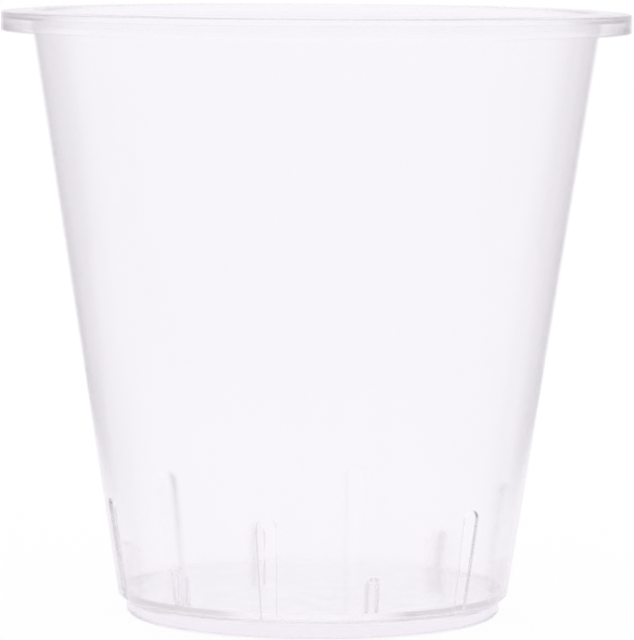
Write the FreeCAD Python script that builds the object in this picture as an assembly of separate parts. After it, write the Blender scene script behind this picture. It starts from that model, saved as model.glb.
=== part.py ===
import FreeCAD, Part
import math
import os

# A clear orchid pot: a round tapering pot with a turned-out rim, six slots low in its wall,
# six nesting lugs inside between them, and a raised floor on a foot ring. The real pot is one
# moulding. Here it is divided where its section changes, into zones that meet face to face.
# Lengths are in millimetres. +Z is up, and the origin is at the middle of the foot's underside.
# The front slot points along -Y.

# Whole pot, with the outer radius of the wall's foot
pot_height = 144.5
rim_radius = 75.0
wall_low_radius = 46.8
wall_thickness = 0.9

# Rim flange, which stands out from the wall, with a raised lip round its inner edge
rim_width = 7.15
rim_thickness = 2.1
rim_fall = 0.6
rim_rounding = 0.5
lip_rounding = 1.8
lip_width = 2.0

# Skirt that hangs from the rim's outer edge
skirt_height = 4.5
skirt_thickness = 1.2
skirt_rounding = 0.4

# Foot ring, set in from the wall by a sloping step, and the raised floor that lies on it
foot_height = 4.9
foot_thickness = 2.0
foot_step_width = 2.0
foot_step_height = 1.8
foot_rounding = 1.2
floor_thickness = 1.5

# Slots, narrower at the foot than at the head, with a round head
slot_count = 6
slot_head_width = 4.8
slot_foot_width = 3.7
slot_height = 24.2

# Nesting lugs, which stand on the floor against the wall. Their tops fall towards the middle.
# The clearance keeps a lug's curved back just off the wall's curved face.
lug_width = 2.4
lug_depth = 3.0
lug_height = 8.6
lug_fall = 2.0
lug_clearance = 0.1

# How far a cutting solid runs past what it cuts
overrun = 1.0

# Levels and places worked out from the sizes above
wall_high_radius = rim_radius - rim_width
foot_radius = wall_low_radius - foot_step_width
rim_underside = pot_height - rim_thickness
skirt_foot = pot_height - rim_fall - skirt_height
floor_top = foot_height + floor_thickness
slot_top = foot_height + slot_height
slot_shoulder = slot_top - slot_head_width / 2
full_turn = 360
half_turn = full_turn / 2
slot_pitch = full_turn / slot_count
front_angle = -90
wall_slope = (wall_high_radius - wall_low_radius) / (rim_underside - foot_height)

origin = FreeCAD.Vector(0, 0, 0)
up = FreeCAD.Vector(0, 0, 1)


def wall_outside(height):
    """Radius of the wall's outer face at a height."""
    return wall_low_radius + wall_slope * (height - foot_height)


def wall_inside(height):
    """Radius of the wall's inner face at a height."""
    return wall_outside(height) - wall_thickness


def at(radius, height):
    """Point in the plane of a section, to the right of the pot's axis."""
    return FreeCAD.Vector(radius, 0, height)


def corner_edges(before, corner, after, rounding):
    """Where a rounded corner starts and ends, with its arc, from the points on both sides."""
    towards_before = (before - corner).normalize()
    towards_after = (after - corner).normalize()
    half_angle = towards_before.getAngle(towards_after) / 2
    reach = rounding / math.tan(half_angle)
    start = corner + towards_before * reach
    end = corner + towards_after * reach
    inward = (towards_before + towards_after).normalize()
    middle = corner + inward * (rounding / math.sin(half_angle) - rounding)
    return start, end, Part.Arc(start, middle, end).toShape()


def section(corners):
    """Closed face from corners given as (radius, height, rounding), in order."""
    points = [at(radius, height) for radius, height, rounding in corners]
    starts, ends, arcs = [], [], []
    for index, (radius, height, rounding) in enumerate(corners):
        corner = points[index]
        if rounding:
            following = points[(index + 1) % len(points)]
            start, end, arc = corner_edges(points[index - 1], corner, following, rounding)
            arcs.append([arc])
        else:
            start = end = corner
            arcs.append([])
        starts.append(start)
        ends.append(end)
    edges = []
    for index in range(len(points)):
        edges += [Part.makeLine(ends[index - 1], starts[index])] + arcs[index]
    return Part.Face(Part.Wire(edges))


def ring(corners):
    """Solid turned once round the pot's axis from a section."""
    return section(corners).revolve(origin, up, full_turn)


def turned(shape, angle):
    """Copy of a shape, turned round the pot's axis."""
    copy = shape.copy()
    copy.rotate(origin, up, angle)
    return copy


def slot_angles():
    """Angle of each slot, from the front one."""
    return [front_angle + slot_pitch * index for index in range(slot_count)]


def slot_tool():
    """Solid that cuts one slot through the wall, on the +X side. It runs past both faces."""
    near = wall_inside(foot_height) - overrun
    far = wall_outside(slot_top) + overrun
    low = foot_height - overrun
    half_head = slot_head_width / 2
    spread = (slot_head_width - slot_foot_width) / 2 / (slot_shoulder - foot_height)
    half_low = slot_foot_width / 2 - spread * overrun
    left_low = FreeCAD.Vector(near, -half_low, low)
    right_low = FreeCAD.Vector(near, half_low, low)
    left_head = FreeCAD.Vector(near, -half_head, slot_shoulder)
    right_head = FreeCAD.Vector(near, half_head, slot_shoulder)
    crown = FreeCAD.Vector(near, 0, slot_top)
    edges = [
        Part.makeLine(left_low, right_low),
        Part.makeLine(right_low, right_head),
        Part.Arc(right_head, crown, left_head).toShape(),
        Part.makeLine(left_head, left_low),
    ]
    return Part.Face(Part.Wire(edges)).extrude(FreeCAD.Vector(far - near, 0, 0))


def rim_flange():
    """Turned-out rim. Its top falls from the raised lip to the rounded outer edge."""
    lip_corner = wall_inside(pot_height)
    return ring([
        (wall_inside(rim_underside), rim_underside, 0),
        (rim_radius, rim_underside, 0),
        (rim_radius, pot_height - rim_fall, rim_rounding),
        (lip_corner + lip_width, pot_height, 0),
        (lip_corner, pot_height, lip_rounding),
    ])


def rim_skirt():
    """Band that hangs from the rim's outer edge, clear of the wall."""
    inner = rim_radius - skirt_thickness
    return ring([
        (inner, skirt_foot, skirt_rounding),
        (rim_radius, skirt_foot, skirt_rounding),
        (rim_radius, rim_underside, 0),
        (inner, rim_underside, 0),
    ])


def wall_section(low, high):
    """Section of the wall between two heights, as corners."""
    return [
        (wall_inside(low), low, 0),
        (wall_outside(low), low, 0),
        (wall_outside(high), high, 0),
        (wall_inside(high), high, 0),
    ]


def upper_wall():
    """Unbroken wall, from the slots' shoulders to the rim, with their round heads cut out."""
    wall = ring(wall_section(slot_shoulder, rim_underside))
    heads = [turned(slot_tool(), angle) for angle in slot_angles()]
    return wall.cut(heads)


def wall_panel(angle):
    """Stretch of wall between the slot at an angle and the next slot."""
    start = turned(section(wall_section(foot_height, slot_shoulder)), angle)
    stretch = start.revolve(origin, up, slot_pitch)
    return stretch.cut([turned(slot_tool(), angle), turned(slot_tool(), angle + slot_pitch)])


def floor_plate():
    """Raised floor, which closes the wall's foot."""
    return ring([
        (0, foot_height, 0),
        (wall_inside(foot_height), foot_height, 0),
        (wall_inside(floor_top), floor_top, 0),
        (0, floor_top, 0),
    ])


def foot_ring():
    """Ring that the pot stands on, set in from the wall by a sloping step."""
    inner = foot_radius - foot_thickness
    return ring([
        (inner, 0, 0),
        (foot_radius, 0, foot_rounding),
        (foot_radius, foot_height - foot_step_height, 0),
        (wall_low_radius, foot_height, 0),
        (inner, foot_height, 0),
    ])


def nesting_lug(angle):
    """Upright lug on the floor, whose back follows the wall's inner face."""
    top = floor_top + lug_height
    inner = wall_inside(floor_top) - lug_depth
    foot_back = wall_inside(floor_top) - lug_clearance
    back = wall_inside(top) - lug_clearance
    outline = [
        at(inner, floor_top),
        at(back + overrun, floor_top),
        at(back + overrun, top),
        at(back, top),
        at(inner, top - lug_fall),
        at(inner, floor_top),
    ]
    side = Part.Face(Part.makePolygon(outline))
    side.translate(FreeCAD.Vector(0, -lug_width / 2, 0))
    block = side.extrude(FreeCAD.Vector(0, lug_width, 0))
    hollow = ring([
        (0, floor_top, 0),
        (foot_back, floor_top, 0),
        (back, top, 0),
        (0, top, 0),
    ])
    return turned(block.common(turned(hollow, half_turn)), angle)


def pieces():
    """Every zone of the pot, by name."""
    made = {
        "rim_flange": rim_flange(),
        "rim_skirt": rim_skirt(),
        "upper_wall": upper_wall(),
        "floor_plate": floor_plate(),
        "foot_ring": foot_ring(),
    }
    for index, angle in enumerate(slot_angles()):
        made[f"wall_panel_{index + 1}"] = wall_panel(angle)
        made[f"nesting_lug_{index + 1}"] = nesting_lug(angle + slot_pitch / 2)
    return made


os.makedirs("parts", exist_ok=True)
for name, shape in pieces().items():
    shape.exportStep(f"parts/{name}.step")
    print(name, "has", len(shape.Solids), "solid, of", round(shape.Volume), "cubic mm")
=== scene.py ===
# %% [markdown]
# # A clear orchid pot with slots
# The real pot is one injection moulding of clear polypropylene, about one to two millimetres
# thick. Clear things are seen by their edges, so this lesson spends its time on three things:
# true wall thicknesses, a plastic that bends light as the real one does, and a studio that is
# white behind the pot and dimmer to its sides.
#
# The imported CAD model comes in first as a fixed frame. Nothing in it is moved: the pieces made
# here stand in the same place, in metres, with +Z up and the foot on the floor.

import math

import bmesh
import bpy
from mathutils import Matrix, Vector


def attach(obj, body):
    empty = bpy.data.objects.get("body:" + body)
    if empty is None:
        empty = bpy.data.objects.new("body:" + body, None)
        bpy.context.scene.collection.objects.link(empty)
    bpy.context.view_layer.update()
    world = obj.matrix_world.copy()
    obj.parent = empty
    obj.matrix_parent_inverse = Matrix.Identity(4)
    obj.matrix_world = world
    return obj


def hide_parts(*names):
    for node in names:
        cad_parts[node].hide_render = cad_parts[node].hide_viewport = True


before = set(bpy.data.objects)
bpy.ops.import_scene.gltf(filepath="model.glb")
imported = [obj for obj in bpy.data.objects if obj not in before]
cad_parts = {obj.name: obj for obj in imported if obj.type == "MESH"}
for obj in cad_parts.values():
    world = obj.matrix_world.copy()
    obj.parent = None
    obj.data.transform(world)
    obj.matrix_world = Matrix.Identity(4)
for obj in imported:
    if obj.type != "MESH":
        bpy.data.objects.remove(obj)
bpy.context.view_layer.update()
print("CAD nodes:", sorted(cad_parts))

# %% [markdown]
# ## Sizes
# A designer keeps the sizes of a moulding in one place. These are the sizes of the CAD model,
# in millimetres, because that is how a pot is drawn and measured. One helper turns a radius, an
# angle and a height in millimetres into a place in the scene, which is in metres.

# %% Sizes in millimetres
pot_height = 144.5
rim_radius = 75.0
rim_width = 7.15
rim_thickness = 2.1
rim_fall = 0.6
rim_rounding = 0.5
lip_rounding = 1.8
lip_width = 2.0
skirt_height = 4.5
skirt_thickness = 1.2
skirt_rounding = 0.4
wall_low_radius = 46.8
wall_thickness = 0.9
foot_height = 4.9
foot_thickness = 2.0
foot_step_width = 2.0
foot_step_height = 1.8
foot_rounding = 1.2
floor_thickness = 1.5
slot_count = 6
slot_head_width = 4.8
slot_foot_width = 3.7
slot_height = 24.2
lug_width = 2.4
lug_depth = 3.0
lug_height = 8.6
lug_fall = 2.0

rim_underside = pot_height - rim_thickness
skirt_foot = pot_height - rim_fall - skirt_height
skirt_inner = rim_radius - skirt_thickness
floor_top = foot_height + floor_thickness
foot_radius = wall_low_radius - foot_step_width
foot_inner = foot_radius - foot_thickness
slot_top = foot_height + slot_height
slot_shoulder = slot_top - slot_head_width / 2
slot_pitch = 2 * math.pi / slot_count
front_angle = -math.pi / 2
wall_slope = (rim_radius - rim_width - wall_low_radius) / (rim_underside - foot_height)
mm = 0.001


def wall_outside(height):
    """Radius of the wall's outer face at a height."""
    return wall_low_radius + wall_slope * (height - foot_height)


def wall_inside(height):
    """Radius of the wall's inner face at a height."""
    return wall_outside(height) - wall_thickness


def place(radius, angle, height):
    """Place in the scene, in metres, from a radius and a height in millimetres."""
    return Vector((radius * math.cos(angle), radius * math.sin(angle), height)) * mm


wall_high_radius = round(wall_outside(rim_underside), 2)
print("Wall radius:", wall_low_radius, "mm at the foot,", wall_high_radius, "mm at the rim")

# %% [markdown]
# ## The plastic
# Polypropylene for clear pots is a random copolymer. It lets nearly all the light through, bends
# it a little less than glass does, with an index of 1.49, and has a faint cool haze because tiny
# crystals scatter some of it. The mould is polished, so the skin is glossy, but the melt
# runs up the wall from a gate in the middle of the floor and leaves soft streaks along its way.
#
# One Principled shader does this, with all its light transmitted. Haze is a little roughness, and
# it varies with a noise that is stretched along the height, as the flow was. A bump of the same
# kind is so weak that it only makes the background swim a little. A share of white diffuse would
# look milky too, but light that runs along inside the wall would die in it and the slots' cut
# faces would turn black. The thin wall has no colour of its own. The lugs and the foot ring are
# two or three times as thick, so they get a faint cool tint.

# %% A helper for colours and one for nodes
def linear(hex_colour):
    """Linear colour with full alpha from an sRGB hex code."""
    channels = [int(hex_colour[index:index + 2], 16) / 255 for index in (0, 2, 4)]
    return [c / 12.92 if c <= 0.04045 else ((c + 0.055) / 1.055) ** 2.4 for c in channels] + [1.0]


def add_node(tree, kind, inputs=None, **settings):
    """Add a node. Each input takes either a value or the output socket that it is linked from."""
    node = tree.nodes.new(kind)
    for name, value in settings.items():
        setattr(node, name, value)
    for key, value in (inputs or {}).items():
        if isinstance(value, bpy.types.NodeSocket):
            tree.links.new(value, node.inputs[key])
        else:
            node.inputs[key].default_value = value
    return node


def repeats_of(size):
    """Noise scale at which one feature is about this many millimetres across."""
    return 1 / (size * mm)


# %% Clear polypropylene
refractive_index = 1.49
streak_width = 7.0
streak_stretch = 9.0
noise_detail = 2.0
noise_roughness = 0.5
noise_low = 0.3
noise_high = 0.7
haze_low = 0.06
haze_high = 0.11
swim_height = 0.004


def clear_plastic(name, tint):
    """Moulded clear polypropylene of a tint, with streaks of haze along the flow."""
    finish = bpy.data.materials.new(name)
    finish.use_nodes = True
    tree = finish.node_tree
    tree.nodes.clear()
    where = add_node(tree, "ShaderNodeTexCoord").outputs["Object"]
    along_flow = add_node(tree, "ShaderNodeMapping", {
        "Vector": where,
        "Scale": (1, 1, 1 / streak_stretch),
    })
    streaks = add_node(tree, "ShaderNodeTexNoise", {
        "Vector": along_flow.outputs["Vector"],
        "Scale": repeats_of(streak_width),
        "Detail": noise_detail,
        "Roughness": noise_roughness,
    })
    haze = add_node(tree, "ShaderNodeMapRange", {
        "Value": streaks.outputs["Fac"],
        "From Min": noise_low,
        "From Max": noise_high,
        "To Min": haze_low,
        "To Max": haze_high,
    })
    swim = add_node(tree, "ShaderNodeBump", {
        "Height": streaks.outputs["Fac"],
        "Distance": swim_height * mm,
        "Strength": 1.0,
    })
    skin = add_node(tree, "ShaderNodeBsdfPrincipled", {
        "Base Color": linear(tint),
        "IOR": refractive_index,
        "Transmission Weight": 1.0,
        "Roughness": haze.outputs["Result"],
        "Normal": swim.outputs["Normal"],
    })
    add_node(tree, "ShaderNodeOutputMaterial", {"Surface": skin.outputs["BSDF"]})
    print("Material:", finish.name, "with", len(tree.nodes), "nodes")
    return finish


wall_tint = "FFFFFF"
thick_tint = "FAF8FB"
plastic = clear_plastic("moulded_clear_polypropylene", wall_tint)
thick_plastic = clear_plastic("thick_clear_polypropylene", thick_tint)

# %% [markdown]
# ## Where two zones meet
# The pot is one moulding, so there is no surface inside it where the wall runs into the rim or the
# floor. Each piece here is closed all the same, and the faces that only close it, face to face
# with the same plastic, get a material that light doesn't notice. Without it every such face would
# be a mirror inside the plastic and show as a bright ring that the real pot hasn't got.

# %% Faces inside the plastic
inside_plastic = bpy.data.materials.new("polypropylene_moulded_through")
inside_plastic.use_nodes = True
tree = inside_plastic.node_tree
through = tree.nodes["Principled BSDF"]
through.inputs["Base Color"].default_value = linear("FFFFFF")
through.inputs["Alpha"].default_value = 0.0
print("Material:", inside_plastic.name)

# %% [markdown]
# ## Turned pieces
# Rim, skirt, floor and foot are turned on one axis, so each is a section swept round it. The
# section is a closed loop of corners, some of them rounded by an arc. Blender's Screw modifier
# could sweep it too, but here the steps round the circle have to be the same as the slotted
# wall's, or hairline gaps would show between the pieces. So the sweep is written out.
#
# Each stretch of a section says what it is: open to the air, or inside the plastic. Two kinds
# depend on the angle. One is inside the plastic but for the slots, where the wall doesn't stand on
# it, and the other is inside only where a lug stands.

# %% Rounded corners of a section
def arc(before, corner, after, rounding, steps=8):
    """Points of a rounded corner, from the neighbouring corners, all as (radius, height)."""
    corner = Vector(corner)
    towards_before = (Vector(before) - corner).normalized()
    towards_after = (Vector(after) - corner).normalized()
    half_angle = towards_before.angle(towards_after) / 2
    inward = (towards_before + towards_after).normalized()
    centre = corner + inward * rounding / math.sin(half_angle)
    start = corner + towards_before * rounding / math.tan(half_angle) - centre
    end = corner + towards_after * rounding / math.tan(half_angle) - centre
    turn = start.angle_signed(end)
    points = []
    for step in range(steps + 1):
        spoke = start.copy()
        spoke.rotate(Matrix.Rotation(-turn * step / steps, 2))
        points.append(tuple(centre + spoke))
    return points


test_arc = arc((0, 10), (0, 0), (10, 0), 2)
print("A rounded corner runs from", test_arc[0], "to", test_arc[-1])

# %% Angles of the steps round the pot
bay_columns = 16
steps_across_slot = 4
lug_half_angle = math.asin(lug_width / 2 / (wall_inside(floor_top) - lug_depth / 2))
lug_share = 1 - lug_half_angle / (slot_pitch / 2)
column_shares = [lug_share * step / (bay_columns - 1) for step in range(bay_columns)] + [1.0]


def slot_half_width(height):
    """Half of a slot's width at a height: straight flanks up to the shoulder, then a round head."""
    if height >= slot_top:
        return 0.0
    if height > slot_shoulder:
        head = slot_head_width / 2
        return math.sqrt(max(head ** 2 - (height - slot_shoulder) ** 2, 0.0))
    share = (height - foot_height) / (slot_shoulder - foot_height)
    return (slot_foot_width + (slot_head_width - slot_foot_width) * share) / 2


def column_angle(share, slot_edge):
    """Angle from a slot's middle, for a share of the way from the slot's edge to the bay's end.

    The lug's flank keeps its angle, and the columns between it and the slot make room.
    """
    if share >= lug_share:
        return share * slot_pitch / 2
    return slot_edge + share / lug_share * (lug_share * slot_pitch / 2 - slot_edge)


def round_angles(slot_edge):
    """All the way round, in steps that meet the wall's own, with the slots' edges among them."""
    beside = [column_angle(share, slot_edge) for share in column_shares]
    across = []
    if slot_edge:
        across = [slot_edge * step / steps_across_slot for step in range(steps_across_slot)]
    half_bay = across + beside
    bay = [-angle for angle in reversed(half_bay[1:])] + half_bay[:-1]
    return [front_angle + slot_pitch * index + angle for index in range(slot_count) for angle in bay]


foot_slot_edge = math.asin(slot_foot_width / 2 / (wall_low_radius - wall_thickness / 2))
rim_angles = round_angles(0.0)
foot_angles = round_angles(foot_slot_edge)
print("Steps round the rim:", len(rim_angles), "and round the foot:", len(foot_angles))

# %% Sweep a section round the axis
smooth_below = math.radians(30)
on_axis_below = 1e-6


def finish_mesh(mesh):
    """Smooth shading, with creases where faces meet at more than the limit."""
    mesh.shade_smooth()
    mesh.set_sharp_from_angle(angle=smooth_below)
    mesh.validate()


def is_hidden(kind, angle):
    """Whether a stretch of a section is inside the plastic at an angle."""
    from_slot = (angle - front_angle + slot_pitch / 2) % slot_pitch - slot_pitch / 2
    if kind == "inside but for slots":
        return abs(from_slot) > foot_slot_edge
    if kind == "inside under lugs":
        return abs(from_slot) > slot_pitch / 2 - lug_half_angle
    return kind == "inside"


def sweep(name, section, angles):
    """Closed piece from a section of (radius, height, kind of the stretch that follows)."""
    shell = bmesh.new()
    rings = []
    for radius, height, _ in section:
        if radius < on_axis_below:
            pole = shell.verts.new(place(0, 0, height))
            rings.append([pole] * len(angles))
        else:
            rings.append([shell.verts.new(place(radius, angle, height)) for angle in angles])
    for index, (_, _, kind) in enumerate(section):
        here = rings[index]
        there = rings[(index + 1) % len(section)]
        if here[0] is here[1] and there[0] is there[1]:
            continue
        for step, angle in enumerate(angles):
            after = (step + 1) % len(angles)
            next_angle = angle + (angles[after] - angle) % (2 * math.pi)
            corners = []
            for corner in (here[step], here[after], there[after], there[step]):
                if corner not in corners:
                    corners.append(corner)
            face = shell.faces.new(corners)
            face.material_index = int(is_hidden(kind, (angle + next_angle) / 2))
    bmesh.ops.recalc_face_normals(shell, faces=shell.faces)
    mesh = bpy.data.meshes.new(name)
    shell.to_mesh(mesh)
    shell.free()
    mesh.materials.append(plastic)
    mesh.materials.append(inside_plastic)
    finish_mesh(mesh)
    piece = bpy.data.objects.new(name, mesh)
    bpy.context.scene.collection.objects.link(piece)
    return piece


def settle(piece, *nodes):
    """Give a finished piece its body and hide the CAD nodes that it stands for."""
    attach(piece, "root")
    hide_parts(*nodes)
    spans = [[corner[axis] for corner in piece.bound_box] for axis in range(3)]
    size = [round((max(span) - min(span)) / mm, 2) for span in spans]
    print(piece.name, "is", size, "mm and has", len(piece.data.polygons), "faces")


# %% [markdown]
# ## The rim
# The rim is a flange that stiffens the mouth and lets pots hang in a tray. A raised lip runs round
# its inner edge and rounds down into the mouth, and its top falls a little towards the rounded
# outer edge, so water runs off. These roundings are what the eye catches: each one gathers the
# light into a thin bright line, with a dark one beside it.
#
# The skirt is a short band under the outer edge. Its foot is where the next pot's rim would rest.

# %% Rim flange
lip_corner = wall_inside(pot_height)
shoulder = (lip_corner + lip_width, pot_height)
outer_corner = (rim_radius, pot_height - rim_fall)
lip_foot = (wall_inside(rim_underside), rim_underside)
outer_arc = arc((rim_radius, rim_underside), outer_corner, shoulder, rim_rounding)
lip_arc = arc(shoulder, (lip_corner, pot_height), lip_foot, lip_rounding)
flange_section = [
    (*lip_foot, "inside"),
    (wall_outside(rim_underside), rim_underside, "open"),
    (skirt_inner, rim_underside, "inside"),
    (rim_radius, rim_underside, "open"),
]
flange_section += [(radius, height, "open") for radius, height in outer_arc]
flange_section += [(*shoulder, "open")]
flange_section += [(radius, height, "open") for radius, height in lip_arc]
rim_flange = sweep("moulded_rim_flange", flange_section, rim_angles)
settle(rim_flange, "rim_flange")

# %% Rim skirt
skirt_arc_steps = 4
inner_top = (skirt_inner, rim_underside)
inner_foot = (skirt_inner, skirt_foot)
outer_foot = (rim_radius, skirt_foot)
outer_top = (rim_radius, rim_underside)
skirt_in = arc(inner_top, inner_foot, outer_foot, skirt_rounding, skirt_arc_steps)
skirt_out = arc(inner_foot, outer_foot, outer_top, skirt_rounding, skirt_arc_steps)
skirt_section = [(radius, height, "open") for radius, height in skirt_in + skirt_out]
skirt_section += [(*outer_top, "inside"), (*inner_top, "open")]
rim_skirt = sweep("moulded_rim_skirt", skirt_section, rim_angles)
settle(rim_skirt, "rim_skirt")

# %% [markdown]
# ## The slotted wall
# Six slots let air and water through the wall at its foot. They narrow downwards, because that is
# how the steel that forms them leaves the moulding, and they end in a round head.
#
# Cutting them out with a Boolean would leave long thin faces round each slot, and in clear plastic
# their uneven shading shows as ripples. The wall repeats every sixth of a turn, so one bay is
# meshed to fit instead: its rows follow the slot's edge, and its columns fan out from it to the
# bay's ends. Geometry Nodes then repeat the bay round the axis and weld the bays together.

# %% One bay of the wall
head_steps = 10
flank_steps = 5
upper_steps = 14
upper_spread = 1.5
quarter_turn = math.pi / 2
lug_top = floor_top + lug_height
flank_rows = [foot_height, floor_top]
for step in range(1, flank_steps + 1):
    flank_rows.append(floor_top + lug_height * step / flank_steps)
for step in range(1, flank_steps + 1):
    flank_rows.append(lug_top + (slot_shoulder - lug_top) * step / flank_steps)
head_rows = []
for step in range(1, head_steps + 1):
    head_rows.append(slot_shoulder + slot_head_width / 2 * math.sin(quarter_turn * step / head_steps))
upper_rows = []
for step in range(1, upper_steps + 1):
    upper_rows.append(slot_top + (rim_underside - slot_top) * (step / upper_steps) ** upper_spread)
bay_rows = flank_rows + head_rows + upper_rows
slot_rows = len(flank_rows) + len(head_rows)


def bay_point(radius, height, side, column):
    """Place on one face of the wall, on one side of the slot at angle 0."""
    slot_edge = math.asin(slot_half_width(height) / radius)
    return place(radius, side * column_angle(column_shares[column], slot_edge), height)


def wall_bay():
    """Mesh of one bay: both faces of the wall, the slot's cut faces, the foot and the top."""
    shell = bmesh.new()
    hidden = shell.faces.layers.bool.new("moulded_through")
    columns = range(bay_columns + 1)

    def grid(radius_at, side):
        """Vertices of one face of the wall, on one side of the slot, row by row."""
        rows = []
        for height in bay_rows:
            radius = radius_at(height)
            rows.append([shell.verts.new(bay_point(radius, height, side, column)) for column in columns])
        return rows

    def quad(corners, is_inside=False):
        """Face with four corners, which may be inside the plastic."""
        face = shell.faces.new(corners)
        face[hidden] = is_inside

    for side in (-1, 1):
        outside = grid(wall_outside, side)
        inside = grid(wall_inside, side)
        for row in range(len(bay_rows) - 1):
            behind_floor = bay_rows[row + 1] <= floor_top
            beside_lug = bay_rows[row + 1] <= lug_top
            for column in range(bay_columns):
                behind_lug = beside_lug and column == bay_columns - 1
                for face_rows, is_inside in ((outside, False), (inside, behind_floor or behind_lug)):
                    low, high = face_rows[row], face_rows[row + 1]
                    quad((low[column], low[column + 1], high[column + 1], high[column]), is_inside)
            if row < slot_rows - 1:
                quad((outside[row][0], outside[row + 1][0], inside[row + 1][0], inside[row][0]))
        for column in range(bay_columns):
            for row in (0, -1):
                near, far = outside[row], inside[row]
                quad((near[column], near[column + 1], far[column + 1], far[column]), True)
    mesh = bpy.data.meshes.new("wall_bay")
    shell.to_mesh(mesh)
    shell.free()
    return mesh


bay_mesh = wall_bay()
print("One bay of the wall has", len(bay_mesh.polygons), "faces")

# %% Node tree that repeats a piece round the pot's axis
def repeat_tree():
    """Tree that sets copies of a mesh round the Z axis, welds them and gives them their materials."""
    tree = bpy.data.node_groups.new("repeat_round_the_axis", "GeometryNodeTree")
    tree.is_modifier = True
    sockets = {
        "Piece": "NodeSocketGeometry",
        "Count": "NodeSocketInt",
        "First angle": "NodeSocketFloat",
        "Weld distance": "NodeSocketFloat",
        "Plastic": "NodeSocketMaterial",
        "Moulded through": "NodeSocketMaterial",
    }
    for name, kind in sockets.items():
        tree.interface.new_socket(name, in_out="INPUT", socket_type=kind)
    tree.interface.new_socket("Ring", in_out="OUTPUT", socket_type="NodeSocketGeometry")
    given = add_node(tree, "NodeGroupInput").outputs
    points = add_node(tree, "GeometryNodePoints", {"Count": given["Count"]})
    index = add_node(tree, "GeometryNodeInputIndex")
    pitch = add_node(tree, "ShaderNodeMath", {0: 2 * math.pi, 1: given["Count"]}, operation="DIVIDE")
    turn = add_node(
        tree, "ShaderNodeMath",
        {0: index.outputs["Index"], 1: pitch.outputs["Value"], 2: given["First angle"]},
        operation="MULTIPLY_ADD",
    )
    rotation = add_node(tree, "ShaderNodeCombineXYZ", {"Z": turn.outputs["Value"]})
    copies = add_node(tree, "GeometryNodeInstanceOnPoints", {
        "Points": points.outputs["Points"],
        "Instance": given["Piece"],
        "Rotation": rotation.outputs["Vector"],
    })
    real = add_node(tree, "GeometryNodeRealizeInstances", {"Geometry": copies.outputs["Instances"]})
    welded = add_node(tree, "GeometryNodeMergeByDistance", {
        "Geometry": real.outputs["Geometry"],
        "Distance": given["Weld distance"],
    })
    skinned = add_node(tree, "GeometryNodeSetMaterial", {
        "Geometry": welded.outputs["Geometry"],
        "Material": given["Plastic"],
    })
    hidden = add_node(
        tree, "GeometryNodeInputNamedAttribute", {"Name": "moulded_through"},
        data_type="BOOLEAN",
    )
    joined = add_node(tree, "GeometryNodeSetMaterial", {
        "Geometry": skinned.outputs["Geometry"],
        "Selection": hidden.outputs["Attribute"],
        "Material": given["Moulded through"],
    })
    add_node(tree, "NodeGroupOutput", {"Ring": joined.outputs["Geometry"]})
    return tree


axis_tree = repeat_tree()
print("Tree:", axis_tree.name, "with", len(axis_tree.nodes), "nodes")

# %% Use the tree and keep its result as a plain mesh
weld_distance = 0.002


def repeated(name, mesh, first_angle, finish):
    """Piece made of the mesh, repeated once for each slot, with its doubles merged."""
    source = bpy.data.objects.new(name + "_source", mesh)
    bpy.context.scene.collection.objects.link(source)
    modifier = source.modifiers.new("Repeat", "NODES")
    modifier.node_group = axis_tree
    wanted = {
        "Count": slot_count,
        "First angle": first_angle,
        "Weld distance": weld_distance * mm,
        "Plastic": finish,
        "Moulded through": inside_plastic,
    }
    for socket in axis_tree.interface.items_tree:
        if socket.name in wanted:
            modifier[socket.identifier] = wanted[socket.name]
    depsgraph = bpy.context.evaluated_depsgraph_get()
    made = bpy.data.meshes.new_from_object(
        source.evaluated_get(depsgraph), preserve_all_data_layers=True, depsgraph=depsgraph
    )
    bpy.data.objects.remove(source)
    made.name = name
    shell = bmesh.new()
    shell.from_mesh(made)
    bmesh.ops.recalc_face_normals(shell, faces=shell.faces)
    open_edges = [edge for edge in shell.edges if not edge.is_manifold]
    volume = round(shell.calc_volume() / mm ** 3)
    print(name, "has", len(open_edges), "open edges and holds", volume, "cubic mm")
    shell.to_mesh(made)
    shell.free()
    finish_mesh(made)
    piece = bpy.data.objects.new(name, made)
    bpy.context.scene.collection.objects.link(piece)
    return piece


slotted_wall = repeated("slotted_wall", bay_mesh, front_angle, plastic)
settle(slotted_wall, "upper_wall", *(f"wall_panel_{index + 1}" for index in range(slot_count)))

# %% [markdown]
# ## Floor and foot
# The floor is raised, so that water drains from under the roots through the slots' feet. It lies on
# a ring that the pot stands on, which is set in under the wall by a sloping step. The floor's
# edge and the ring's top are inside the plastic, except where a slot lays them bare.

# %% Raised floor
floor_section = [
    (0.0, foot_height, "open"),
    (foot_inner, foot_height, "inside"),
    (wall_inside(foot_height), foot_height, "inside but for slots"),
    (wall_inside(floor_top), floor_top, "inside under lugs"),
    (wall_inside(floor_top) - lug_depth, floor_top, "open"),
    (0.0, floor_top, "open"),
]
raised_floor = sweep("raised_floor", floor_section, foot_angles)
settle(raised_floor, "floor_plate")

# %% Foot ring
step_foot = (foot_radius, foot_height - foot_step_height)
foot_arc = arc((foot_inner, 0.0), (foot_radius, 0.0), step_foot, foot_rounding)
foot_section = [(foot_inner, 0.0, "open")]
foot_section += [(radius, height, "open") for radius, height in foot_arc]
foot_section += [
    (*step_foot, "open"),
    (wall_low_radius, foot_height, "inside but for slots"),
    (wall_inside(foot_height), foot_height, "inside"),
    (foot_inner, foot_height, "open"),
]
standing_ring = sweep("standing_foot_ring", foot_section, foot_angles)
standing_ring.data.materials[0] = thick_plastic
settle(standing_ring, "foot_ring")

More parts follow.
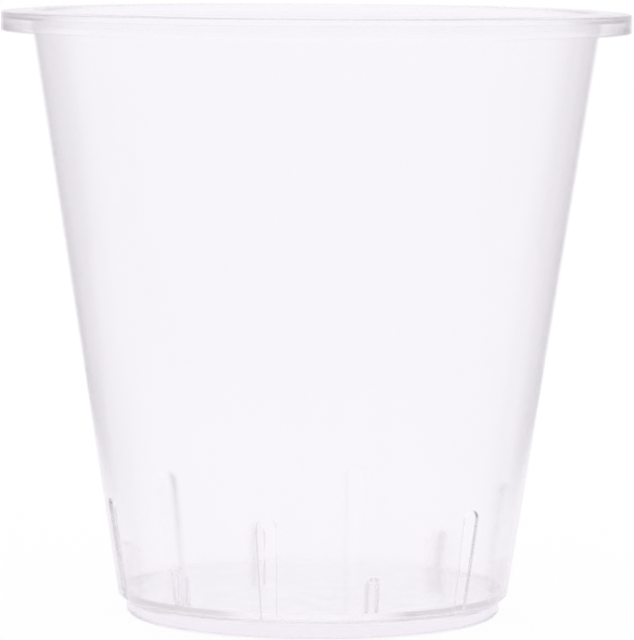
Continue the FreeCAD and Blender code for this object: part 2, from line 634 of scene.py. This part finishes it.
# %% [markdown]
# ## Nesting lugs
# Empty pots are sold in stacks. Six short ribs stand on the floor against the wall, halfway between
# the slots, and the next pot's foot rests on them before the two walls can wedge. Through the
# wall they show as short soft upright marks with sloping tops. One lug is meshed and bevelled,
# and the same tree repeats it.

# %% One lug, with rounded edges
lug_rounding = 0.3
lug_rounding_steps = 3
round_profile = 0.5


def one_lug():
    """Mesh of one lug, at angle 0. Its back and its foot are inside the plastic."""
    inner = wall_inside(floor_top) - lug_depth
    outline = [
        (inner, floor_top),
        (wall_inside(floor_top), floor_top),
        (wall_inside(lug_top), lug_top),
        (inner, lug_top - lug_fall),
    ]
    shell = bmesh.new()
    hidden = shell.faces.layers.bool.new("moulded_through")
    near, far = [
        [shell.verts.new(Vector((radius, side, height)) * mm) for radius, height in outline]
        for side in (-lug_width / 2, lug_width / 2)
    ]
    shell.faces.new(near)
    shell.faces.new(far)
    for index in range(len(outline)):
        after = (index + 1) % len(outline)
        face = shell.faces.new((near[index], near[after], far[after], far[index]))
        face[hidden] = index < 2
    bmesh.ops.recalc_face_normals(shell, faces=shell.faces)
    shown = [edge for edge in shell.edges if not any(face[hidden] for face in edge.link_faces)]
    bmesh.ops.bevel(
        shell, geom=shown, affect="EDGES", offset=lug_rounding * mm,
        segments=lug_rounding_steps, profile=round_profile,
    )
    mesh = bpy.data.meshes.new("one_lug")
    shell.to_mesh(mesh)
    shell.free()
    return mesh


nesting_lugs = repeated("nesting_lugs", one_lug(), front_angle + slot_pitch / 2, thick_plastic)
settle(nesting_lugs, *(f"nesting_lug_{index + 1}" for index in range(slot_count)))

# %% [markdown]
# ## The studio
# Clear plastic takes its whole look from what is round it. Product photographers set it on a
# white light table in front of a white background, and leave a dimmer gap to the left and right
# of the background. Light that comes straight through is white then, and light that the edges
# bend in from the gap is darker, so the pot is drawn in soft grey lines. The camera comes first,
# because the lit lane on the table and the background run along its line of sight.

# %% Camera
camera_angle = math.radians(12.5)
camera_distance = 1060.0
camera_height = 168.5
camera_aside = 0.6
camera_pitch = math.radians(5.2916)
camera_roll = 0.0066
camera_lens = 249.83
camera_sensor = 36.0

ahead = Vector((-math.sin(camera_angle), math.cos(camera_angle), 0))
aside = Vector((math.cos(camera_angle), math.sin(camera_angle), 0))
gaze = ahead * math.cos(camera_pitch) - Vector((0, 0, math.sin(camera_pitch)))
upright = aside.cross(gaze)
right = aside * math.cos(camera_roll) + upright * math.sin(camera_roll)
above = upright * math.cos(camera_roll) - aside * math.sin(camera_roll)
lens = bpy.data.cameras.new("camera")
lens.lens = camera_lens
lens.sensor_width = camera_sensor
camera = bpy.data.objects.new("camera", lens)
stand = (aside * camera_aside - ahead * camera_distance + Vector((0, 0, camera_height))) * mm
camera.matrix_world = Matrix.Translation(stand) @ Matrix((right, above, -gaze)).transposed().to_4x4()
bpy.context.scene.collection.objects.link(camera)
bpy.context.scene.camera = camera
print("Camera at", [round(value, 3) for value in stand])

# %% [markdown]
# ## Table and room
# Both glow by themselves, in the same tones, so no lamp is needed and no horizon shows where they
# meet: nearly white in the lane behind the pot, a light grey in the gap beside the background, and
# a paler one round the rest. The room is a gradient on the sky that goes by the angle from the
# background, and it turns white overhead. Catalogue pictures are often cut out: past the object
# they are pure white, and through clear parts the backdrop keeps its tone. A check for rays that
# come straight from the camera does the same here. Seen from below the table isn't there, so the
# pot's underside can be looked at too. These are the tones and the nodes for them.

# %% Tones of the studio, and how one runs into another
white_tone = linear("FFFFFF")
backdrop_tone = linear("FAF7FC")
side_tone = linear("F2EEF3")
gap_tone = linear("DAD6DD")
background_half_width = (12, 20)
gap_half_width = (50, 65)
# The Mix node has several sockets of one name, so its colours go by number
mix_first = 6
mix_second = 7
mix_result = 2


def smooth(tree, value, limits):
    """Smooth rise from 0 to 1 as a value goes from one limit to the other."""
    return add_node(tree, "ShaderNodeMapRange", {
        "Value": value,
        "From Min": limits[0],
        "From Max": limits[1],
    }, interpolation_type="SMOOTHSTEP").outputs["Result"]


def blend(tree, share, first, second):
    """Mix of two colours, all of the second where the share is 1."""
    colours = {"Factor": share, mix_first: first, mix_second: second}
    return add_node(tree, "ShaderNodeMix", colours, data_type="RGBA").outputs[mix_result]


def cut_out(tree, tone):
    """A tone where it is seen through the pot, and white where the camera looks past the pot."""
    is_direct = add_node(tree, "ShaderNodeLightPath").outputs["Is Camera Ray"]
    return blend(tree, is_direct, tone, white_tone)


def along(tree, spot, direction):
    """How far a spot lies along a direction."""
    product = add_node(tree, "ShaderNodeVectorMath", {0: spot, 1: direction}, operation="DOT_PRODUCT")
    return product.outputs["Value"]


def towards_back(tree, spot):
    """Cosine of the angle between the ways to a spot and to the background, seen from above."""
    flat = add_node(tree, "ShaderNodeVectorMath", {0: spot, 1: (1, 1, 0)}, operation="MULTIPLY")
    heading = add_node(tree, "ShaderNodeVectorMath", {0: flat.outputs["Vector"]}, operation="NORMALIZE")
    return along(tree, heading.outputs["Vector"], ahead)


def cosines(degrees):
    """Cosines of two angles in degrees."""
    return [math.cos(math.radians(angle)) for angle in degrees]


def sines(degrees):
    """Sines of two angles in degrees, which are the heights of a direction."""
    return [math.sin(math.radians(angle)) for angle in degrees]


# %% Light table
table_radius = 0.45
table_segments = 96
table_colour = "404040"
table_roughness = 0.9
table_glow = 0.95
lane_edge = (0.105, 0.17)
lane_front = (0.12, 0.22)

table_mesh = bpy.data.meshes.new("light_table")
shell = bmesh.new()
bmesh.ops.create_circle(shell, cap_ends=True, radius=table_radius, segments=table_segments)
shell.to_mesh(table_mesh)
shell.free()
opal = bpy.data.materials.new("opal_acrylic_sheet")
opal.use_nodes = True
tree = opal.node_tree
tree.nodes.clear()
on_table = add_node(tree, "ShaderNodeTexCoord").outputs["Object"]
off_axis = add_node(tree, "ShaderNodeMath", {0: along(tree, on_table, aside)}, operation="ABSOLUTE")
beside_lane = smooth(tree, off_axis.outputs["Value"], lane_edge)
before_lane = smooth(tree, along(tree, on_table, -ahead), lane_front)
off_lane = add_node(tree, "ShaderNodeMath", {0: beside_lane, 1: before_lane}, operation="MAXIMUM")
beside_gap = smooth(tree, towards_back(tree, on_table), cosines(gap_half_width))
dim_tone = blend(tree, beside_gap, gap_tone, side_tone)
opal_skin = add_node(tree, "ShaderNodeBsdfPrincipled", {
    "Base Color": linear(table_colour),
    "Roughness": table_roughness,
    "Specular IOR Level": 0.0,
    "Emission Color": cut_out(tree, blend(tree, off_lane.outputs["Value"], backdrop_tone, dim_tone)),
    "Emission Strength": table_glow,
})
from_below = add_node(tree, "ShaderNodeNewGeometry").outputs["Backfacing"]
nothing = add_node(tree, "ShaderNodeBsdfTransparent").outputs["BSDF"]
sheet = add_node(tree, "ShaderNodeMixShader", {0: from_below, 1: opal_skin.outputs["BSDF"], 2: nothing})
add_node(tree, "ShaderNodeOutputMaterial", {"Surface": sheet.outputs["Shader"]})
table_mesh.materials.append(opal)
light_table = bpy.data.objects.new("light_table", table_mesh)
bpy.context.scene.collection.objects.link(light_table)
print("Light table:", 2 * table_radius, "m across")

# %% Room round the table
top_height = (20, 40)

world = bpy.data.worlds.new("studio")
world.use_nodes = True
bpy.context.scene.world = world
tree = world.node_tree
tree.nodes.clear()
direction = add_node(tree, "ShaderNodeTexCoord").outputs["Generated"]
from_back = towards_back(tree, direction)
height = add_node(tree, "ShaderNodeSeparateXYZ", {"Vector": direction}).outputs["Z"]
beside_background = smooth(tree, from_back, cosines(background_half_width))
background = blend(tree, beside_background, backdrop_tone, gap_tone)
walls = blend(tree, smooth(tree, from_back, cosines(gap_half_width)), background, side_tone)
room = blend(tree, smooth(tree, height, sines(top_height)), walls, white_tone)
sky = add_node(tree, "ShaderNodeBackground", {"Color": cut_out(tree, room), "Strength": 1.0})
add_node(tree, "ShaderNodeOutputWorld", {"Surface": sky.outputs["Background"]})
print("Room:", len(tree.nodes), "nodes")

# %% [markdown]
# ## Settings that clear plastic needs
# Light that enters the wall at a slot runs along inside it, thrown back from face to face, for
# hundreds of turns. With too few bounces it never gets out, and the slots' edges and the rim's
# corners turn black. The Standard view transform keeps the white table white. The pixel filter is
# a little wide, so that thin lines stay soft, as behind a real lens.

# %% Light paths and colour
bounces_in_wall = 1024
other_bounces = 64

scene = bpy.context.scene
scene.cycles.max_bounces = bounces_in_wall
scene.cycles.transmission_bounces = bounces_in_wall
scene.cycles.glossy_bounces = bounces_in_wall
scene.cycles.diffuse_bounces = other_bounces
scene.cycles.transparent_max_bounces = other_bounces
scene.cycles.filter_width = 2.2
scene.view_settings.view_transform = "Standard"
print("Bounces:", scene.cycles.max_bounces)
